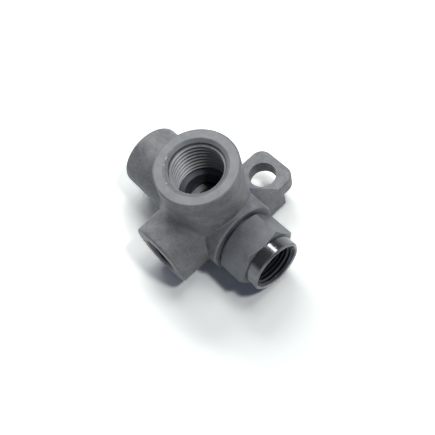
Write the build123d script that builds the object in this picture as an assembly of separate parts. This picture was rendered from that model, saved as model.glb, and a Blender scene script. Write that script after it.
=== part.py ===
from build123d import *
import math
import os

# Two-way check valve for compressed air: a die-cast body with two inlets in line on X,
# a delivery port on top, a small tapped port at the side, a mounting lug, and a screwed
# hexagon cap. Inside, a shuttle slides in a slotted guide between two seats and shuts
# whichever inlet has the lower pressure.
#
# Millimetres. +X towards the hexagon cap, +Z towards the delivery port, -Y towards the side
# port, +Y towards the lug. Every piece is drawn about the point where the port axes cross, and
# is then moved so that the origin is the centre of the lug's bolt hole, on the lug's top face.
# Tapped holes have their wall at the thread's root radius, and male threads at the crest.

# Body casting: barrel, which is the inlet at the -X end
barrel_end_x = -36.0
barrel_end_radius = 12.6
barrel_root_radius = 13.0
barrel_edge_round = 1.4

# Collar that takes the cap, at the +X end
collar_end_x = 17.0
collar_radius = 13.8
collar_edge_chamfer = 0.5

# Delivery boss, upright, ending below in a round belly with a small flat to stand on
boss_face_z = 30.5
boss_radius = 15.0
boss_root_radius = 15.3
boss_edge_chamfer = 0.35
belly_z = -14.2

# Side boss
side_face_y = -25.7
side_face_radius = 12.5
side_root_radius = 13.4
side_edge_round = 0.9

# Fillets of the casting, where its round bosses run into each other
barrel_side_fillet = 3.0
collar_side_fillet = 0.8

# Mounting lug: a plate with a bolt hole, and one rib under its +X edge
lug_centre_x = 3.5
lug_hole_y = 22.7
lug_hole_radius = 5.15
lug_half_width = 9.3
lug_outer_edge_y = 31.2
lug_thickness = 6.0
lug_corner_radius = 4.6
lug_edge_round = 0.7
lug_rib_thickness = 3.4
lug_rib_outer_y = 24.6
lug_rib_bottom_z = -12.8
lug_root_fillet = 1.0

# Bevel on the lug's top, down towards the collar, starting just clear of the hole
lug_bevel_clear_of_hole = 0.75
lug_bevel_heading = 39.0
lug_bevel_slope = 24.0

# Tapped ports: thread root radius, threaded depth and countersink radius
delivery_thread_radius = 10.1
delivery_thread_depth = 16.6
delivery_mouth_radius = 11.15
delivery_bore_radius = 7.8
inlet_thread_radius = 8.3
inlet_thread_depth = 13.5
inlet_mouth_radius = 9.5
side_thread_radius = 6.6
side_thread_depth = 11.5
side_mouth_radius = 7.35
side_bore_radius = 4.0
drill_point_angle = 59.0

# Shuttle chamber and the two seats that face each other in it
chamber_radius = 8.2
seat_face_x = 8.0
seat_height = 1.5
seat_bore_radius = 4.6
seat_ring_width = 1.1

# Hexagon cap
cap_thread_radius = 9.45
cap_thread_clearance = 0.05
cap_thread_chamfer = 0.6
cap_flange_radius = 10.9
cap_flange_thickness = 0.7
cap_hex_across_flats = 22.2
cap_hex_length = 11.6
cap_hex_chamfer_angle = 30.0
cap_nose_radius = 10.35
cap_nose_length = 4.8
cap_nose_chamfer = 0.6

# O-ring in the groove under the cap's flange
o_ring_section = 2.0
o_ring_centre_radius = 9.45
o_ring_clearance = 0.05

# Shuttle guide: a slotted tube held between the body's shoulder and the cap
guide_wall = 1.1
guide_end_ring = 2.4
guide_ribs = 4
guide_rib_width = 3.4
guide_clearance = 0.06

# Shuttle: a spool with a rubber facing let into each end
shuttle_length = 10.8
shuttle_clearance = 0.06
shuttle_seat_clearance = 0.1
shuttle_land_width = 3.2
shuttle_waist_radius = 4.4
facing_radius = 6.0
facing_thickness = 1.6
facing_clearance = 0.02

# Sizes that follow from the ones above
seat_outer_radius = seat_bore_radius + seat_ring_width
shoulder_x = seat_face_x + seat_height
cap_hex_start_x = collar_end_x + cap_flange_thickness
cap_hex_end_x = cap_hex_start_x + cap_hex_length
cap_end_x = cap_hex_end_x + cap_nose_length
body_thread_radius = cap_thread_radius + cap_thread_clearance
groove_radius = o_ring_centre_radius + o_ring_section / 2 + o_ring_clearance
groove_depth = o_ring_section + 2 * o_ring_clearance
cap_neck_radius = o_ring_centre_radius - o_ring_section / 2 - o_ring_clearance
guide_radius = chamber_radius - guide_clearance
guide_bore_radius = guide_radius - guide_wall
guide_length = 2 * (shoulder_x - guide_clearance)
shuttle_radius = guide_bore_radius - shuttle_clearance
shuttle_start_x = shuttle_seat_clearance - seat_face_x


def turned(outline, axis):
    """Solid of revolution from (station along the axis, radius) pairs."""
    places = {
        "X": lambda station, radius: (station, 0, radius),
        "Y": lambda station, radius: (radius, station, 0),
        "Z": lambda station, radius: (radius, 0, station),
    }
    corners = [places[axis](station, radius) for station, radius in outline]
    face = make_face(Polyline(*corners, close=True))
    return revolve(face, {"X": Axis.X, "Y": Axis.Y, "Z": Axis.Z}[axis])


def end_circle(solid, axis, at_end):
    """The largest circular edge at the low (0) or high (-1) end of a turned solid."""
    group = solid.edges().filter_by(GeomType.CIRCLE).group_by(axis)[at_end]
    return group.sort_by(SortBy.RADIUS)[-1]


def tapped_port(axis, mouth, inward, thread_radius, depth, mouth_radius, bore_radius, bore_end):
    """Cutter for a countersunk tapped hole, its drill point and the plain bore behind it."""
    sink = mouth_radius - thread_radius
    point = (thread_radius - bore_radius) / math.tan(math.radians(drill_point_angle))
    over = 1.0
    outline = [
        (mouth - inward * over, 0),
        (mouth - inward * over, mouth_radius + over),
        (mouth + inward * sink, thread_radius),
        (mouth + inward * depth, thread_radius),
        (mouth + inward * (depth + point), bore_radius),
        (bore_end, bore_radius),
        (bore_end, 0),
    ]
    return turned(outline, axis)


def barrel():
    outline = [(barrel_end_x, 0), (barrel_end_x, barrel_end_radius), (0, barrel_root_radius), (0, 0)]
    solid = turned(outline, "X")
    return fillet(end_circle(solid, Axis.X, 0), barrel_edge_round)


def collar():
    outline = [(0, 0), (0, collar_radius), (collar_end_x, collar_radius), (collar_end_x, 0)]
    solid = turned(outline, "X")
    return chamfer(end_circle(solid, Axis.X, -1), collar_edge_chamfer)


def delivery_boss():
    """Upright boss whose foot is a ball of the boss's own radius, cut flat underneath."""
    flat_radius = math.sqrt(boss_root_radius**2 - belly_z**2)
    flat_angle = math.degrees(math.atan2(belly_z, flat_radius))
    sides = Polyline(
        (boss_root_radius, 0),
        (boss_radius, boss_face_z),
        (0, boss_face_z),
        (0, belly_z),
        (flat_radius, belly_z),
    )
    ball = CenterArc((0, 0), boss_root_radius, flat_angle, -flat_angle)
    outline = make_face([*sides.edges(), *ball.edges()])
    solid = revolve(Plane.XZ * outline, Axis.Z)
    return chamfer(end_circle(solid, Axis.Z, -1), boss_edge_chamfer)


def side_boss():
    outline = [(side_face_y, 0), (side_face_y, side_face_radius), (0, side_root_radius), (0, 0)]
    solid = turned(outline, "Y")
    return fillet(end_circle(solid, Axis.Y, 0), side_edge_round)


def cast_core():
    """The round bosses as one casting: a large fillet towards the barrel, a small one at the collar."""
    members = [barrel(), collar(), delivery_boss(), side_boss()]
    core = members[0] + members[1] + members[2] + members[3]
    crossings = new_edges(*members, combined=core).filter_by(GeomType.BSPLINE)
    towards_barrel = crossings.filter_by(lambda edge: edge.bounding_box().min.X < -10)
    core = fillet(towards_barrel, barrel_side_fillet)
    crossings = new_edges(*members, combined=core).filter_by(GeomType.BSPLINE)
    at_collar = crossings.filter_by(lambda edge: edge.bounding_box().min.X > 6 and edge.length > 7)
    return fillet(at_collar, collar_side_fillet)


def lug():
    """Bolt plate and its rib, with the plate's inner +X corner bevelled down towards the collar."""
    plate = Box(2 * lug_half_width, lug_outer_edge_y, lug_thickness)
    plate = Pos(lug_centre_x, lug_outer_edge_y / 2, -lug_thickness / 2) * plate
    plate = fillet(plate.edges().filter_by(Axis.Z).group_by(Axis.Y)[-1], lug_corner_radius)
    rim = plate.faces().sort_by(Axis.Z)[-1].edges()
    plate = fillet(rim.filter_by(lambda edge: edge.center().Y > 1), lug_edge_round)
    rib = Box(lug_rib_thickness, lug_rib_outer_y, -lug_rib_bottom_z - lug_edge_round)
    rib_x = lug_centre_x + lug_half_width - lug_rib_thickness / 2
    rib = Pos(rib_x, lug_rib_outer_y / 2, (lug_rib_bottom_z - lug_edge_round) / 2) * rib
    rib_end = rib.faces().sort_by(Axis.Y)[-1].edges()
    rib = fillet(rib_end.filter_by(lambda edge: edge.center().Z < -1), lug_edge_round)
    bevel_start = lug_hole_radius + lug_bevel_clear_of_hole
    bevel = Pos(0, -bevel_start, 0) * Rot(lug_bevel_slope, 0, 0) * Pos(0, -25, 25) * Box(60, 50, 50)
    bevel = Pos(lug_centre_x, lug_hole_y, 0) * Rot(0, 0, lug_bevel_heading) * bevel
    return plate + rib - bevel


def body():
    core = cast_core()
    plate = lug()
    solid = core + plate
    joint = new_edges(core, plate, combined=solid)
    under_plate = joint.filter_by(lambda edge: edge.center().Z < 0.1 - lug_thickness)
    solid = fillet(under_plate, lug_root_fillet)
    hole = Cylinder(lug_hole_radius, 3 * lug_thickness)
    solid -= Pos(lug_centre_x, lug_hole_y, 0) * hole
    solid -= tapped_port(
        "Z", boss_face_z, -1, delivery_thread_radius, delivery_thread_depth,
        delivery_mouth_radius, delivery_bore_radius, 0,
    )
    solid -= tapped_port(
        "X", barrel_end_x, 1, inlet_thread_radius, inlet_thread_depth,
        inlet_mouth_radius, seat_bore_radius, 0,
    )
    solid -= tapped_port(
        "Y", side_face_y, 1, side_thread_radius, side_thread_depth,
        side_mouth_radius, side_bore_radius, 0,
    )
    chamber = [
        (-seat_face_x, 0),
        (-seat_face_x, seat_outer_radius),
        (-shoulder_x, seat_outer_radius),
        (-shoulder_x, chamber_radius),
        (shoulder_x, chamber_radius),
        (shoulder_x, body_thread_radius),
        (collar_end_x - groove_depth, body_thread_radius),
        (collar_end_x - groove_depth, groove_radius),
        (collar_end_x + 1, groove_radius),
        (collar_end_x + 1, 0),
    ]
    solid -= turned(chamber, "X")
    return solid


def end_cap():
    shank = [
        (seat_face_x, 0),
        (seat_face_x, seat_outer_radius),
        (shoulder_x, seat_outer_radius),
        (shoulder_x, cap_thread_radius - cap_thread_chamfer),
        (shoulder_x + cap_thread_chamfer, cap_thread_radius),
        (collar_end_x - groove_depth, cap_thread_radius),
        (collar_end_x - groove_depth, cap_neck_radius),
        (collar_end_x, cap_neck_radius),
        (collar_end_x, cap_flange_radius),
        (cap_hex_end_x, cap_flange_radius),
        (cap_hex_end_x, cap_nose_radius),
        (cap_end_x - cap_nose_chamfer, cap_nose_radius),
        (cap_end_x, cap_nose_radius - cap_nose_chamfer),
        (cap_end_x, 0),
    ]
    corner_radius = cap_hex_across_flats / 2 / math.cos(math.pi / 6)
    hexagon = Plane.YZ.offset(cap_hex_start_x) * RegularPolygon(corner_radius, 6)
    prism = extrude(hexagon, cap_hex_length)
    beyond = corner_radius + 1
    fall = (beyond - cap_hex_across_flats / 2) * math.tan(math.radians(cap_hex_chamfer_angle))
    rounded = [
        (cap_hex_start_x, 0),
        (cap_hex_start_x, cap_hex_across_flats / 2),
        (cap_hex_start_x + fall, beyond),
        (cap_hex_end_x - fall, beyond),
        (cap_hex_end_x, cap_hex_across_flats / 2),
        (cap_hex_end_x, 0),
    ]
    solid = turned(shank, "X") + (prism & turned(rounded, "X"))
    solid -= tapped_port(
        "X", cap_end_x, -1, inlet_thread_radius, inlet_thread_depth,
        inlet_mouth_radius, seat_bore_radius, seat_face_x - 1,
    )
    return solid


def cap_o_ring():
    ring = Torus(o_ring_centre_radius, o_ring_section / 2)
    return Pos(collar_end_x - groove_depth / 2, 0, 0) * Rot(0, 90, 0) * ring


def shuttle_guide():
    tube = Cylinder(guide_radius, guide_length) - Cylinder(guide_bore_radius, guide_length)
    window_length = guide_length - 2 * guide_end_ring
    window = Cylinder(guide_radius + 1, window_length)
    for step in range(guide_ribs):
        angle = (step + 0.5) * 360 / guide_ribs
        rib = Pos(guide_radius, 0, 0) * Box(2 * guide_radius, guide_rib_width, window_length)
        window -= Rot(0, 0, angle) * rib
    return Rot(0, 90, 0) * (tube - window)


def shuttle_core():
    first = shuttle_start_x
    last = shuttle_start_x + shuttle_length
    pocket = facing_radius + facing_clearance
    outline = [
        (first + facing_thickness, 0),
        (first + facing_thickness, pocket),
        (first, pocket),
        (first, shuttle_radius),
        (first + shuttle_land_width, shuttle_radius),
        (first + shuttle_land_width, shuttle_waist_radius),
        (last - shuttle_land_width, shuttle_waist_radius),
        (last - shuttle_land_width, shuttle_radius),
        (last, shuttle_radius),
        (last, pocket),
        (last - facing_thickness, pocket),
        (last - facing_thickness, 0),
    ]
    return turned(outline, "X")


def facing(start_x):
    outline = [
        (start_x, 0),
        (start_x, facing_radius),
        (start_x + facing_thickness, facing_radius),
        (start_x + facing_thickness, 0),
    ]
    return turned(outline, "X")


nodes = {
    "body": body(),
    "end_cap": end_cap(),
    "cap_o_ring": cap_o_ring(),
    "shuttle_guide": shuttle_guide(),
    "shuttle_core": shuttle_core(),
    "barrel_side_facing": facing(shuttle_start_x),
    "cap_side_facing": facing(shuttle_start_x + shuttle_length - facing_thickness),
}

to_lug_hole = Pos(-lug_centre_x, -lug_hole_y, 0)

os.makedirs("parts", exist_ok=True)
for name, solid in nodes.items():
    export_step(to_lug_hole * solid, f"parts/{name}.step")
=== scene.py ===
import math

import bpy
from mathutils import Matrix, Quaternion, Vector


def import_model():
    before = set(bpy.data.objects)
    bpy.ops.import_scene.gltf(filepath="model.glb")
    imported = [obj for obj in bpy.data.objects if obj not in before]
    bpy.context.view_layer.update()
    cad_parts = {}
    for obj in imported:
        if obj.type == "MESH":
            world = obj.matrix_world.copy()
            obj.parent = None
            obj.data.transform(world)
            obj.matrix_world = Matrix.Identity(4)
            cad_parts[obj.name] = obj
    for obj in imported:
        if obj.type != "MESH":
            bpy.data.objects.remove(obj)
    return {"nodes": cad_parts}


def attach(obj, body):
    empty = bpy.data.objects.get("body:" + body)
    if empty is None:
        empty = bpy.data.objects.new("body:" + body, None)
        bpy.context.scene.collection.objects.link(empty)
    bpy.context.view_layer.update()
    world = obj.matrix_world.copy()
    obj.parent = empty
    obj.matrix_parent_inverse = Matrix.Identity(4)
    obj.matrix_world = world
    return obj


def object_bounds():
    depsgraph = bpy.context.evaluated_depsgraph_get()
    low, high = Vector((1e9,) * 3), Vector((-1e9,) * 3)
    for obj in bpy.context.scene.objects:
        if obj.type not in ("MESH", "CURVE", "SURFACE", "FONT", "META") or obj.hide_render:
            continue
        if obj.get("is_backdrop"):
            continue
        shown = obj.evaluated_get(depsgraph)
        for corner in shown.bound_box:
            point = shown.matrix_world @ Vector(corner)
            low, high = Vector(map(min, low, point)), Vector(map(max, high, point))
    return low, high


# Two-way check valve: the cast body, its hexagon cap and the shuttle inside come with the
# frame and get their finishes here. The threads of the four ports are added as ridges.
# Lengths are in millimetres and are turned into metres where a mesh or a node takes them.

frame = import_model()
cad_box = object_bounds()

MM = 0.001

# Where the axes of the ports cross, seen from the origin at the lug's bolt hole
CROSSING = Vector((-3.5, -22.7, 0.0))

# Faces of the casting and the cap, and the floor, seen from the crossing
DELIVERY_FACE_Z = 30.5
BOSS_RADIUS = 15.0
BARREL_END_X = -36.0
COLLAR_END_X = 17.0
SIDE_FACE_Y = -25.7
CAP_END_X = 34.1
CAP_HEX_END_X = 29.3
FLOOR_Z = -14.2

# Mouths of the ports, the thread's end in the delivery port, and the chamber's half length
DELIVERY_MOUTH_RADIUS = 11.15
INLET_MOUTH_RADIUS = 9.5
SIDE_MOUTH_RADIUS = 7.35
DELIVERY_THREAD_END_Z = 13.9
CHAMBER_REACH = 8.0

# Threads of the ports, as one ridge each; inward is the direction into the part
DELIVERY_PITCH = 1.814
INLET_PITCH = 1.411
SIDE_PITCH = 1.411
PORTS = {
    "delivery_thread": {
        "axis": "Z", "mouth": DELIVERY_FACE_Z, "inward": -1, "mouth_radius": DELIVERY_MOUTH_RADIUS,
        "wall_radius": 10.1, "crest_radius": 9.27, "pitch": DELIVERY_PITCH, "depth": 16.4,
    },
    "barrel_thread": {
        "axis": "X", "mouth": BARREL_END_X, "inward": 1, "mouth_radius": INLET_MOUTH_RADIUS,
        "wall_radius": 8.3, "crest_radius": 7.55, "pitch": INLET_PITCH, "depth": 13.2,
    },
    "cap_thread": {
        "axis": "X", "mouth": CAP_END_X, "inward": -1, "mouth_radius": INLET_MOUTH_RADIUS,
        "wall_radius": 8.3, "crest_radius": 7.55, "pitch": INLET_PITCH, "depth": 13.2,
    },
    "side_thread": {
        "axis": "Y", "mouth": SIDE_FACE_Y, "inward": 1, "mouth_radius": SIDE_MOUTH_RADIUS,
        "wall_radius": 6.6, "crest_radius": 5.85, "pitch": SIDE_PITCH, "depth": 11.2,
    },
}
THREAD_FINISH = {
    "delivery_thread": "thread",
    "barrel_thread": "thread",
    "cap_thread": "steel_thread",
    "side_thread": "shaded_thread",
}
THREAD_TAPER = 1 / 32
CREST_SHARE = 0.14
ROOT_SHARE = 0.9
SEGMENTS_PER_TURN = 80
RUN_IN_SEGMENTS = 20
RUN_OUT_SEGMENTS = 50
RIDGE_BURY = 0.04
RIDGE_START = 0.3

# How far a mask reaches past the face or bore that it covers, its soft edges, and how strongly
# edges get the painted highlight
BORE_SKIN = 0.02
FACE_SKIN = 0.03
FACE_EDGE = 0.01
LINE_EDGE = 0.04
EDGE_HIGHLIGHT_GAIN = 9.0

# Metres: how far the lamps stand off, and where the floor turns into the white backdrop
LAMP_DISTANCE = 0.8
FLOOR_FADE_START = 0.22
FLOOR_FADE_END = 0.6
FLOOR_HALF_SIDE = 3.0
FLOOR_GAP = 0.00002

# Heights of a direction, as its upward share, where the seen backdrop turns into the ceiling
CEILING_START = 0.15
CEILING_END = 0.45

# Camera: focal length in pixels of the square frame, and its place from the crossing
FRAME_PIXELS = 435
FOCAL_PIXELS = 700
SENSOR_WIDTH = 36.0
CAMERA_PLACE = Vector((116.18, -52.483, 224.625))


def links_of(material):
    return material.node_tree.nodes, material.node_tree.links


def new_material(name):
    material = bpy.data.materials.new(name)
    material.use_nodes = True
    return material


def shader_of(material):
    return material.node_tree.nodes["Principled BSDF"]


def math_node(material, operation, first, second=None, clamp=False):
    """A Math node fed by sockets or plain numbers. Returns its output socket."""
    nodes, links = links_of(material)
    node = nodes.new("ShaderNodeMath")
    node.operation = operation
    node.use_clamp = clamp
    for index, value in enumerate((first, second)):
        if value is None:
            continue
        if isinstance(value, (int, float)):
            node.inputs[index].default_value = value
        else:
            links.new(value, node.inputs[index])
    return node.outputs[0]


def noise(material, coordinates, size, detail=3.0, roughness=0.55, distortion=0.0):
    """Noise whose blotches are about size millimetres across. Returns its factor socket."""
    nodes, links = links_of(material)
    node = nodes.new("ShaderNodeTexNoise")
    node.inputs["Scale"].default_value = 1 / (size * MM)
    node.inputs["Detail"].default_value = detail
    node.inputs["Roughness"].default_value = roughness
    node.inputs["Distortion"].default_value = distortion
    links.new(coordinates, node.inputs["Vector"])
    return node.outputs["Fac"]


def ramp(material, factor, stops):
    """A colour ramp through (position, colour or grey) stops. Returns its colour socket."""
    nodes, links = links_of(material)
    node = nodes.new("ShaderNodeValToRGB")
    elements = node.color_ramp.elements
    while len(elements) < len(stops):
        elements.new(0.5)
    for element, (position, colour) in zip(elements, stops):
        if isinstance(colour, (int, float)):
            colour = (colour, colour, colour)
        element.position = position
        element.color = (*colour, 1.0)
    links.new(factor, node.inputs["Fac"])
    return node.outputs["Color"]


def blend(material, factor, first, second, mode="MIX"):
    """Mixes two colours, given as sockets or RGB triples. Returns the colour socket."""
    nodes, links = links_of(material)
    node = nodes.new("ShaderNodeMix")
    node.data_type = "RGBA"
    node.blend_type = mode
    sockets = [s for s in node.inputs if s.type == "RGBA"]
    for socket, value in zip(sockets, (first, second)):
        if isinstance(value, tuple):
            socket.default_value = (*value, 1.0)
        else:
            links.new(value, socket)
    if isinstance(factor, (int, float)):
        node.inputs[0].default_value = factor
    else:
        links.new(factor, node.inputs[0])
    return [s for s in node.outputs if s.type == "RGBA"][0]


def mix_value(material, factor, first, second):
    """first + factor * (second - first), for numbers or sockets."""
    nodes, links = links_of(material)
    node = nodes.new("ShaderNodeMix")
    node.data_type = "FLOAT"
    for index, value in ((0, factor), (2, first), (3, second)):
        if isinstance(value, (int, float)):
            node.inputs[index].default_value = value
        else:
            links.new(value, node.inputs[index])
    return node.outputs[0]


def bump(material, height, strength, distance, normal=None):
    nodes, links = links_of(material)
    node = nodes.new("ShaderNodeBump")
    node.inputs["Strength"].default_value = strength
    node.inputs["Distance"].default_value = distance * MM
    links.new(height, node.inputs["Height"])
    if normal is not None:
        links.new(normal, node.inputs["Normal"])
    return node.outputs["Normal"]


def mix_normal(material, factor, first, second):
    nodes, links = links_of(material)
    node = nodes.new("ShaderNodeMix")
    node.data_type = "VECTOR"
    for index, socket in ((0, factor), (4, first), (5, second)):
        links.new(socket, node.inputs[index])
    return node.outputs[1]


def ring_line(material, radius, centre, half_width):
    """1 on a thin circle of that radius in millimetres, 0 elsewhere."""
    return both(
        material,
        above(material, radius, centre - half_width, LINE_EDGE),
        below(material, radius, centre + half_width, LINE_EDGE),
    )


def rounded(material, radius):
    """Normal that looks as if sharp edges had that small radius in millimetres."""
    node = material.node_tree.nodes.new("ShaderNodeBevel")
    node.samples = 6
    node.inputs["Radius"].default_value = radius * MM
    return node.outputs["Normal"]


def edge_highlight_mask(material, soft_normal):
    """1 at the edges, where the softened normal leaves the true one, 0 elsewhere; it places the
    painted edge highlight.
    """
    nodes, links = links_of(material)
    geometry = nodes.new("ShaderNodeNewGeometry")
    turn = nodes.new("ShaderNodeVectorMath")
    turn.operation = "DOT_PRODUCT"
    links.new(soft_normal, turn.inputs[0])
    links.new(geometry.outputs["Normal"], turn.inputs[1])
    departure = math_node(material, "SUBTRACT", 1.0, turn.outputs["Value"])
    return math_node(material, "MULTIPLY", departure, EDGE_HIGHLIGHT_GAIN, clamp=True)


def openness(material, reach):
    """1 on open faces, towards 0 in corners and holes that close in within reach."""
    node = material.node_tree.nodes.new("ShaderNodeAmbientOcclusion")
    node.samples = 8
    node.inputs["Distance"].default_value = reach * MM
    return node.outputs["AO"]


def valve_position(material):
    """Position in metres from the crossing of the port axes."""
    nodes, links = links_of(material)
    coordinates = nodes.new("ShaderNodeTexCoord")
    shift = nodes.new("ShaderNodeVectorMath")
    shift.operation = "SUBTRACT"
    shift.inputs[1].default_value = CROSSING * MM
    links.new(coordinates.outputs["Object"], shift.inputs[0])
    return shift.outputs[0]


def along_axes(material, position):
    """The x, y and z sockets of a position."""
    nodes, links = links_of(material)
    parts = nodes.new("ShaderNodeSeparateXYZ")
    links.new(position, parts.inputs[0])
    return parts.outputs[0], parts.outputs[1], parts.outputs[2]


def distance_from_axis(material, first, second):
    first_square = math_node(material, "POWER", first, 2.0)
    second_square = math_node(material, "POWER", second, 2.0)
    squares = math_node(material, "ADD", first_square, second_square)
    return math_node(material, "SQRT", squares)


def rise(material, value, start, end):
    """0 where value is under start, 1 where it is over end, and a straight line between."""
    nodes, links = links_of(material)
    node = nodes.new("ShaderNodeMapRange")
    node.inputs["From Min"].default_value = start
    node.inputs["From Max"].default_value = end
    links.new(value, node.inputs["Value"])
    return node.outputs["Result"]


def above(material, value, limit, soft=0.02):
    """1 where value is over limit millimetres, with an edge that far to either side."""
    return rise(material, value, (limit - soft) * MM, (limit + soft) * MM)


def below(material, value, limit, soft=0.02):
    return math_node(material, "SUBTRACT", 1.0, above(material, value, limit, soft))


def both(material, first, second):
    return math_node(material, "MULTIPLY", first, second)


def either(material, *masks):
    total = masks[0]
    for mask in masks[1:]:
        total = math_node(material, "MAXIMUM", total, mask)
    return total


def turning_marks(material, position, pitch):
    """Fine grooves that a lathe tool leaves, one every pitch millimetres of position."""
    wave = math_node(material, "MULTIPLY", position, 2 * math.pi / (pitch * MM))
    return math_node(material, "SINE", wave)


def cast_material():
    """Blasted casting, with its port faces, bores and countersinks cut bright."""
    material = new_material("blasted_casting")
    shader = shader_of(material)
    links = material.node_tree.links
    position = valve_position(material)
    x, y, z = along_axes(material, position)
    from_x_axis = distance_from_axis(material, y, z)
    from_y_axis = distance_from_axis(material, x, z)
    from_z_axis = distance_from_axis(material, x, y)

    delivery_face = above(material, z, DELIVERY_FACE_Z - FACE_SKIN, FACE_EDGE)
    barrel_face = below(material, x, BARREL_END_X + FACE_SKIN, FACE_EDGE)
    side_face = below(material, y, SIDE_FACE_Y + FACE_SKIN, FACE_EDGE)
    collar_face = above(material, x, COLLAR_END_X - FACE_SKIN, FACE_EDGE)
    faces = either(material, delivery_face, barrel_face, side_face, collar_face)

    in_delivery = below(material, from_z_axis, DELIVERY_MOUTH_RADIUS + BORE_SKIN)
    delivery_bore = both(material, in_delivery, above(material, z, CHAMBER_REACH))
    in_barrel = below(material, from_x_axis, INLET_MOUTH_RADIUS + BORE_SKIN)
    barrel_bore = both(material, in_barrel, below(material, x, -CHAMBER_REACH))
    in_side = below(material, from_y_axis, SIDE_MOUTH_RADIUS + BORE_SKIN)
    side_bore = both(material, in_side, below(material, y, -CHAMBER_REACH))
    bores = either(material, delivery_bore, barrel_bore, side_bore)
    under_thread = both(material, delivery_bore, below(material, z, DELIVERY_THREAD_END_Z))
    # Painted shade: the side port's bore and the delivery bore under its thread are painted dark
    # and bluish, as the shade inside them.
    shaded = either(material, side_bore, under_thread)
    cut = either(material, faces, bores)

    patches = noise(material, position, 9.0, detail=4.0, roughness=0.6)
    grain = noise(material, position, 0.55, detail=3.0, roughness=0.6)
    smudges = noise(material, position, 3.2, detail=2.0, roughness=0.5, distortion=0.6)
    cast_tone = ramp(material, patches, [(0.3, (0.19, 0.199, 0.212)), (0.7, (0.285, 0.294, 0.308))])
    grain_tone = ramp(material, grain, [(0.3, 0.76), (0.7, 1.16)])
    cast_colour = blend(material, 1.0, cast_tone, grain_tone, "MULTIPLY")
    smudge_tone = ramp(material, smudges, [(0.35, 0.86), (0.65, 1.08)])
    cast_colour = blend(material, 1.0, cast_colour, smudge_tone, "MULTIPLY")
    stains = noise(material, position, 6.0, detail=5.0, roughness=0.65, distortion=0.4)
    stain_share = ramp(material, stains, [(0.5, 0.0), (0.68, 0.55)])
    cast_colour = blend(material, stain_share, cast_colour, (0.235, 0.225, 0.205))

    face_tone = ramp(material, smudges, [(0.3, (0.235, 0.245, 0.255)), (0.7, (0.28, 0.29, 0.3))])
    bore_tone = ramp(material, smudges, [(0.3, (0.26, 0.265, 0.275)), (0.7, (0.33, 0.335, 0.345))])
    # Painted shade inside the side port and under the delivery thread.
    bore_tone = blend(material, shaded, bore_tone, (0.1, 0.105, 0.125))
    cut_colour = blend(material, bores, face_tone, bore_tone)
    # Painted shade: thin dark lines on the delivery face, at the mouth's edge and near the outer
    # edge, where small edge breaks turn away from the light.
    inner_rim_shade = ring_line(material, from_z_axis, DELIVERY_MOUTH_RADIUS + 0.12, 0.16)
    outer_rim_shade = ring_line(material, from_z_axis, BOSS_RADIUS - 0.45, 0.12)
    rim_shade = either(material, inner_rim_shade, outer_rim_shade)
    rim_shade = math_node(material, "MULTIPLY", both(material, rim_shade, delivery_face), 0.75)
    cut_colour = blend(material, rim_shade, cut_colour, (0.1, 0.105, 0.12))
    # Burrs at the delivery mouth's edge are painted light as glints, only on the side away from the
    # lug.
    mouth_edge = ring_line(material, from_z_axis, DELIVERY_MOUTH_RADIUS, 0.25)
    away_from_lug = below(material, math_node(material, "ADD", x, y), -10.5)
    flecks = both(material, rise(material, grain, 0.57, 0.63), away_from_lug)
    burr_glints = both(material, mouth_edge, flecks)
    cut_colour = blend(material, burr_glints, cut_colour, (0.7, 0.71, 0.72))
    colour = blend(material, cut, cast_colour, cut_colour)
    soft_normal = rounded(material, 0.3)
    # Painted highlight: edges are lightened as if they caught the light, broken up by noise.
    edge_highlight = math_node(material, "MULTIPLY", edge_highlight_mask(material, soft_normal), smudges)
    colour = blend(material, edge_highlight, colour, (0.5, 0.51, 0.52))
    # Painted shade: corners, creases and holes are darkened and tinted blue by how closed in they
    # are.
    crevice_shade = ramp(material, openness(material, 7.0), [(0.1, (0.38, 0.4, 0.62)), (0.8, 1.0)])
    colour = blend(material, 1.0, colour, crevice_shade, "MULTIPLY")
    links.new(colour, shader.inputs["Base Color"])

    metal = mix_value(material, cut, 0.25, mix_value(material, faces, 0.4, 0.35))
    links.new(metal, shader.inputs["Metallic"])
    rough_cast = mix_value(material, grain, 0.5, 0.68)
    rough = mix_value(material, cut, rough_cast, mix_value(material, faces, 0.5, 0.6))
    links.new(rough, shader.inputs["Roughness"])

    pits = bump(material, grain, 0.35, 0.08, soft_normal)
    waves = bump(material, patches, 0.4, 0.35, pits)
    marks = turning_marks(material, from_z_axis, 0.35)
    cut_marks = bump(material, marks, 0.12, 0.02, soft_normal)
    links.new(mix_normal(material, cut, waves, cut_marks), shader.inputs["Normal"])
    return material


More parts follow.
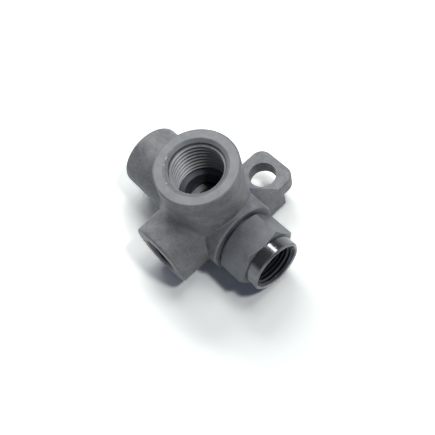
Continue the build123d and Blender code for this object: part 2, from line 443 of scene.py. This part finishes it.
def cap_material():
    """Turned and milled steel: dull flats and a nose that is finer and glossier."""
    material = new_material("machined_steel")
    shader = shader_of(material)
    links = material.node_tree.links
    position = valve_position(material)
    x, y, z = along_axes(material, position)
    from_axis = distance_from_axis(material, y, z)
    nose = above(material, x, CAP_HEX_END_X + 0.05)
    past_chamber = above(material, x, CHAMBER_REACH)
    in_mouth = below(material, from_axis, INLET_MOUTH_RADIUS + BORE_SKIN)
    end_face = above(material, x, CAP_END_X - FACE_SKIN, FACE_EDGE)
    mouth = either(material, end_face, both(material, in_mouth, past_chamber))
    # Painted shade: the cap's bore past the chamber is painted near black and bluish, as the shade
    # inside its port.
    deep = both(material, below(material, from_axis, INLET_MOUTH_RADIUS - 0.4), past_chamber)
    # Painted highlight: a thin light ring at the edge of the cap's mouth.
    lip_highlight = ring_line(material, from_axis, INLET_MOUTH_RADIUS - 0.15, 0.25)

    cloud = noise(material, position, 4.0, detail=4.0, roughness=0.6)
    grain = noise(material, position, 0.4, detail=2.0)
    flats = ramp(material, cloud, [(0.3, (0.105, 0.111, 0.125)), (0.7, (0.15, 0.156, 0.171))])
    grain_tone = ramp(material, grain, [(0.3, 0.9), (0.7, 1.08)])
    flats = blend(material, 1.0, flats, grain_tone, "MULTIPLY")
    turned = ramp(material, cloud, [(0.3, (0.13, 0.134, 0.15)), (0.7, (0.175, 0.18, 0.195))])
    ring = ramp(material, cloud, [(0.3, (0.095, 0.098, 0.11)), (0.7, (0.13, 0.133, 0.145))])
    bore = ramp(material, cloud, [(0.3, (0.035, 0.037, 0.05)), (0.7, (0.05, 0.053, 0.068))])
    colour = blend(material, nose, flats, turned)
    colour = blend(material, mouth, colour, ring)
    colour = blend(material, both(material, lip_highlight, mouth), colour, (0.26, 0.265, 0.28))
    colour = blend(material, deep, colour, bore)
    soft_normal = rounded(material, 0.2)
    # Painted highlight: edges are lightened as if they caught the light, broken up by noise.
    edge_highlight = math_node(material, "MULTIPLY", edge_highlight_mask(material, soft_normal), grain)
    colour = blend(material, edge_highlight, colour, (0.5, 0.5, 0.51))
    # Painted shade: corners and the port are darkened and tinted blue by how closed in they are.
    crevice_shade = ramp(material, openness(material, 5.0), [(0.1, (0.45, 0.46, 0.55)), (0.7, 1.0)])
    colour = blend(material, 1.0, colour, crevice_shade, "MULTIPLY")
    links.new(colour, shader.inputs["Base Color"])
    links.new(mix_value(material, nose, 0.75, 0.9), shader.inputs["Metallic"])
    rough = mix_value(material, nose, mix_value(material, grain, 0.34, 0.48), 0.18)
    links.new(rough, shader.inputs["Roughness"])

    milled = bump(material, grain, 0.15, 0.03, soft_normal)
    marks = bump(material, turning_marks(material, x, 0.28), 0.05, 0.01, soft_normal)
    links.new(mix_normal(material, nose, milled, marks), shader.inputs["Normal"])
    return material


def thread_material(name, dark, light, metallic):
    """Cut thread whose roots get painted shade, darker and bluish, told apart from the crests by
    the ridge's own height.
    """
    material = new_material(name)
    shader = shader_of(material)
    nodes, links = links_of(material)
    position = valve_position(material)
    cloud = noise(material, position, 2.0)
    grain = noise(material, position, 0.3, detail=2.0)
    colour = ramp(material, cloud, [(0.3, dark), (0.7, light)])
    height = nodes.new("ShaderNodeAttribute")
    height.attribute_name = "ridge_height"
    # Painted shade: the roots between the crests are darkened and tinted blue.
    root_shade = ramp(material, height.outputs["Fac"], [(0.15, (0.13, 0.14, 0.2)), (0.75, 1.0)])
    colour = blend(material, 1.0, colour, root_shade, "MULTIPLY")
    links.new(colour, shader.inputs["Base Color"])
    shader.inputs["Metallic"].default_value = metallic
    links.new(mix_value(material, cloud, 0.45, 0.55), shader.inputs["Roughness"])
    links.new(bump(material, grain, 0.1, 0.01), shader.inputs["Normal"])
    return material


def moulded_material(name, dark, light, roughness):
    """Moulded rubber or plastic with a fine matt grain, between the two given tones."""
    material = new_material(name)
    shader = shader_of(material)
    links = material.node_tree.links
    position = valve_position(material)
    cloud = noise(material, position, 2.5)
    grain = noise(material, position, 0.3, detail=2.0)
    links.new(ramp(material, cloud, [(0.3, dark), (0.7, light)]), shader.inputs["Base Color"])
    rough = mix_value(material, grain, roughness - 0.06, roughness + 0.06)
    links.new(rough, shader.inputs["Roughness"])
    links.new(bump(material, grain, 0.2, 0.02), shader.inputs["Normal"])
    return material


def dress(node, material):
    mesh = frame["nodes"][node].data
    mesh.materials.clear()
    mesh.materials.append(material)


def axis_point(axis, along, radius, angle):
    """Point at that angle and radius round a port axis, in metres in the row frame."""
    a, b = radius * math.cos(angle), radius * math.sin(angle)
    places = {"X": (along, a, b), "Y": (b, along, a), "Z": (a, b, along)}
    return (Vector(places[axis]) + CROSSING) * MM


def thread_ridge(name, axis, mouth, inward, mouth_radius, wall_radius, crest_radius, pitch, depth):
    """One helical ridge that stands in from a port's wall, cut back by the countersink."""
    first = mouth_radius - wall_radius
    turns = (depth - first) / pitch
    steps = int(turns * SEGMENTS_PER_TURN)
    half_root = ROOT_SHARE * pitch / 2
    half_crest = CREST_SHARE * pitch / 2
    vertices, faces, heights = [], [], []
    for step in range(steps + 1):
        station = first + (depth - first) * step / steps
        angle = 2 * math.pi * station / pitch
        fade = min(1.0, step / RUN_IN_SEGMENTS, (steps - step) / RUN_OUT_SEGMENTS)
        crest = crest_radius - THREAD_TAPER * station
        crest = wall_radius + (crest - wall_radius) * fade
        for offset, radius, height in (
            (-half_root, wall_radius + RIDGE_BURY, 0.0),
            (-half_crest, crest, 1.0),
            (half_crest, crest, 1.0),
            (half_root, wall_radius + RIDGE_BURY, 0.0),
        ):
            along = max(station + offset, RIDGE_START)
            radius = max(radius, mouth_radius - along + RIDGE_BURY)
            vertices.append(axis_point(axis, mouth + inward * along, radius, angle))
            heights.append(height)
    for step in range(steps):
        for side in range(4):
            a = 4 * step + side
            b = 4 * step + (side + 1) % 4
            faces.append((a, b, b + 4, a + 4))
    faces.append((3, 2, 1, 0))
    last = 4 * steps
    faces.append((last, last + 1, last + 2, last + 3))
    mesh = bpy.data.meshes.new(name)
    mesh.from_pydata(vertices, [], faces)
    mesh.update()
    mesh.attributes.new("ridge_height", "FLOAT", "POINT").data.foreach_set("value", heights)
    mesh.materials.append(MATERIALS[THREAD_FINISH[name]])
    for polygon in mesh.polygons:
        polygon.use_smooth = False
    ridge = bpy.data.objects.new(name, mesh)
    bpy.context.scene.collection.objects.link(ridge)
    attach(ridge, "valve_body")
    return ridge


def seen_directly(tree):
    """1 for rays from the camera and for those that metal or glass passes on, 0 for light."""
    path = tree.nodes.new("ShaderNodeLightPath")
    total = path.outputs["Is Camera Ray"]
    for ray in ("Is Glossy Ray", "Is Transmission Ray"):
        node = tree.nodes.new("ShaderNodeMath")
        node.operation = "MAXIMUM"
        tree.links.new(total, node.inputs[0])
        tree.links.new(path.outputs[ray], node.inputs[1])
        total = node.outputs[0]
    return total


def floor():
    """Plain floor that keeps the valve's shadow and fades into a white backdrop far off."""
    mesh = bpy.data.meshes.new("floor")
    side = FLOOR_HALF_SIDE
    z = FLOOR_Z * MM - FLOOR_GAP
    corners = [(-side, -side, z), (side, -side, z), (side, side, z), (-side, side, z)]
    mesh.from_pydata(corners, [], [(0, 1, 2, 3)])
    plane = bpy.data.objects.new("floor", mesh)
    bpy.context.scene.collection.objects.link(plane)
    material = new_material("floor")
    nodes, links = links_of(material)
    nodes.clear()
    output = nodes.new("ShaderNodeOutputMaterial")
    plain = nodes.new("ShaderNodeBsdfDiffuse")
    plain.inputs["Color"].default_value = (0.8, 0.81, 0.8, 1.0)
    bright = nodes.new("ShaderNodeBsdfDiffuse")
    bright.inputs["Color"].default_value = (0.965, 1.0, 0.965, 1.0)
    lift = nodes.new("ShaderNodeBsdfDiffuse")
    lift.inputs["Color"].default_value = (0.44, 0.455, 0.44, 1.0)
    seen = nodes.new("ShaderNodeAddShader")
    links.new(bright.outputs[0], seen.inputs[0])
    links.new(lift.outputs[0], seen.inputs[1])
    backdrop = nodes.new("ShaderNodeEmission")
    place = nodes.new("ShaderNodeTexCoord")
    distance = nodes.new("ShaderNodeVectorMath")
    distance.operation = "LENGTH"
    links.new(place.outputs["Object"], distance.inputs[0])
    far = rise(material, distance.outputs["Value"], FLOOR_FADE_START, FLOOR_FADE_END)
    faded = nodes.new("ShaderNodeMixShader")
    links.new(far, faded.inputs[0])
    links.new(seen.outputs[0], faded.inputs[1])
    links.new(backdrop.outputs[0], faded.inputs[2])
    mix = nodes.new("ShaderNodeMixShader")
    links.new(seen_directly(material.node_tree), mix.inputs[0])
    links.new(plain.outputs[0], mix.inputs[1])
    links.new(faded.outputs[0], mix.inputs[2])
    links.new(mix.outputs[0], output.inputs["Surface"])
    material.cycles.emission_sampling = "NONE"
    mesh.materials.append(material)
    plane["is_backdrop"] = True


def world(ambient, overhead):
    """Faint even light; what is seen or mirrored is a white backdrop under a dim ceiling."""
    surroundings = bpy.data.worlds.new("studio")
    bpy.context.scene.world = surroundings
    surroundings.use_nodes = True
    nodes, links = surroundings.node_tree.nodes, surroundings.node_tree.links
    nodes.clear()
    output = nodes.new("ShaderNodeOutputWorld")
    fill = nodes.new("ShaderNodeBackground")
    fill.inputs["Color"].default_value = (0.65, 0.78, 1.35, 1.0)
    fill.inputs["Strength"].default_value = ambient
    white = nodes.new("ShaderNodeBackground")
    white.inputs["Color"].default_value = (1.0, 1.0, 1.0, 1.0)
    direction = nodes.new("ShaderNodeTexCoord")
    height = nodes.new("ShaderNodeSeparateXYZ")
    links.new(direction.outputs["Generated"], height.inputs[0])
    ceiling = nodes.new("ShaderNodeMapRange")
    ceiling.inputs["From Min"].default_value = CEILING_START
    ceiling.inputs["From Max"].default_value = CEILING_END
    ceiling.inputs["To Min"].default_value = 1.0
    ceiling.inputs["To Max"].default_value = overhead
    links.new(height.outputs[2], ceiling.inputs["Value"])
    links.new(ceiling.outputs["Result"], white.inputs["Strength"])
    mix = nodes.new("ShaderNodeMixShader")
    links.new(seen_directly(surroundings.node_tree), mix.inputs[0])
    links.new(fill.outputs[0], mix.inputs[1])
    links.new(white.outputs[0], mix.inputs[2])
    links.new(mix.outputs[0], output.inputs["Surface"])


def softbox(name, azimuth, elevation, roll, width, height, power):
    """Oblong lamp that faces the valve. Azimuth runs from +X towards +Y, in degrees."""
    lamp = bpy.data.lights.new(name, "AREA")
    lamp.shape = "RECTANGLE"
    lamp.size = width
    lamp.size_y = height
    lamp.energy = power
    light = bpy.data.objects.new(name, lamp)
    turn, climb = math.radians(azimuth), math.radians(elevation)
    level = math.cos(climb)
    aim = Vector((math.cos(turn) * level, math.sin(turn) * level, math.sin(climb)))
    light.location = CROSSING * MM + aim * LAMP_DISTANCE
    rolled = aim.to_track_quat("Z", "Y") @ Quaternion((0.0, 0.0, 1.0), math.radians(roll))
    light.rotation_euler = rolled.to_euler()
    bpy.context.scene.collection.objects.link(light)


def camera():
    """The photograph's point of view, from a fit to the port circles and the hexagon."""
    data = bpy.data.cameras.new("camera")
    data.sensor_width = SENSOR_WIDTH
    data.lens = FOCAL_PIXELS / FRAME_PIXELS * SENSOR_WIDTH
    data.clip_start = 0.01
    body = bpy.data.objects.new("camera", data)
    right = (0.66918, 0.72386, -0.16798)
    up = (-0.60078, 0.66005, 0.45099)
    back = (0.43733, -0.20088, 0.87658)
    matrix = Matrix((right, up, back)).transposed().to_4x4()
    matrix.translation = (CAMERA_PLACE + CROSSING) * MM
    body.matrix_world = matrix
    bpy.context.scene.collection.objects.link(body)
    bpy.context.scene.camera = body


MATERIALS = {
    "cast": cast_material(),
    "cap": cap_material(),
    "thread": thread_material("cut_thread", (0.37, 0.385, 0.4), (0.47, 0.485, 0.5), 0.5),
    # Painted shade: the side port's thread is dark and bluish for the shade inside that port.
    "shaded_thread": thread_material(
        "shaded_thread", (0.1, 0.105, 0.125), (0.14, 0.145, 0.165), 0.3,
    ),
    # Painted shade: the cap's thread is near black and bluish for the shade inside the cap's port.
    "steel_thread": thread_material(
        "steel_thread", (0.045, 0.048, 0.062), (0.065, 0.068, 0.082), 0.6,
    ),
    "rubber": moulded_material("seal_rubber", 0.018, 0.032, 0.62),
    # Painted shade: the guide is near black and bluish, a dark part put where the port's inside
    # lies in shade.
    "guide": moulded_material(
        "guide_plastic", (0.035, 0.036, 0.055), (0.055, 0.056, 0.08), 0.5,
    ),
    "shuttle": moulded_material("shuttle_plastic", 0.36, 0.44, 0.4),
}
dress("body", MATERIALS["cast"])
dress("end_cap", MATERIALS["cap"])
dress("cap_o_ring", MATERIALS["rubber"])
dress("barrel_side_facing", MATERIALS["rubber"])
dress("cap_side_facing", MATERIALS["rubber"])
dress("shuttle_guide", MATERIALS["guide"])
dress("shuttle_core", MATERIALS["shuttle"])

for port, sizes in PORTS.items():
    thread_ridge(port, **sizes)

floor()
world(ambient=0.038, overhead=0.14)
softbox("long_softbox", azimuth=149, elevation=48, roll=-30, width=0.6, height=0.13, power=3.1)
softbox("front_softbox", azimuth=27, elevation=61, roll=0, width=0.08, height=0.08, power=1.7)
softbox("top_softbox", azimuth=85, elevation=68, roll=0, width=0.35, height=0.25, power=1.7)
softbox("left_softbox", azimuth=195, elevation=22, roll=0, width=0.4, height=0.3, power=0.6)
camera()

bpy.context.scene.view_settings.view_transform = "Standard"

visual_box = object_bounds()
sizes = {
    "cad": [list(corner) for corner in cad_box],
    "visual": [list(corner) for corner in visual_box],
}
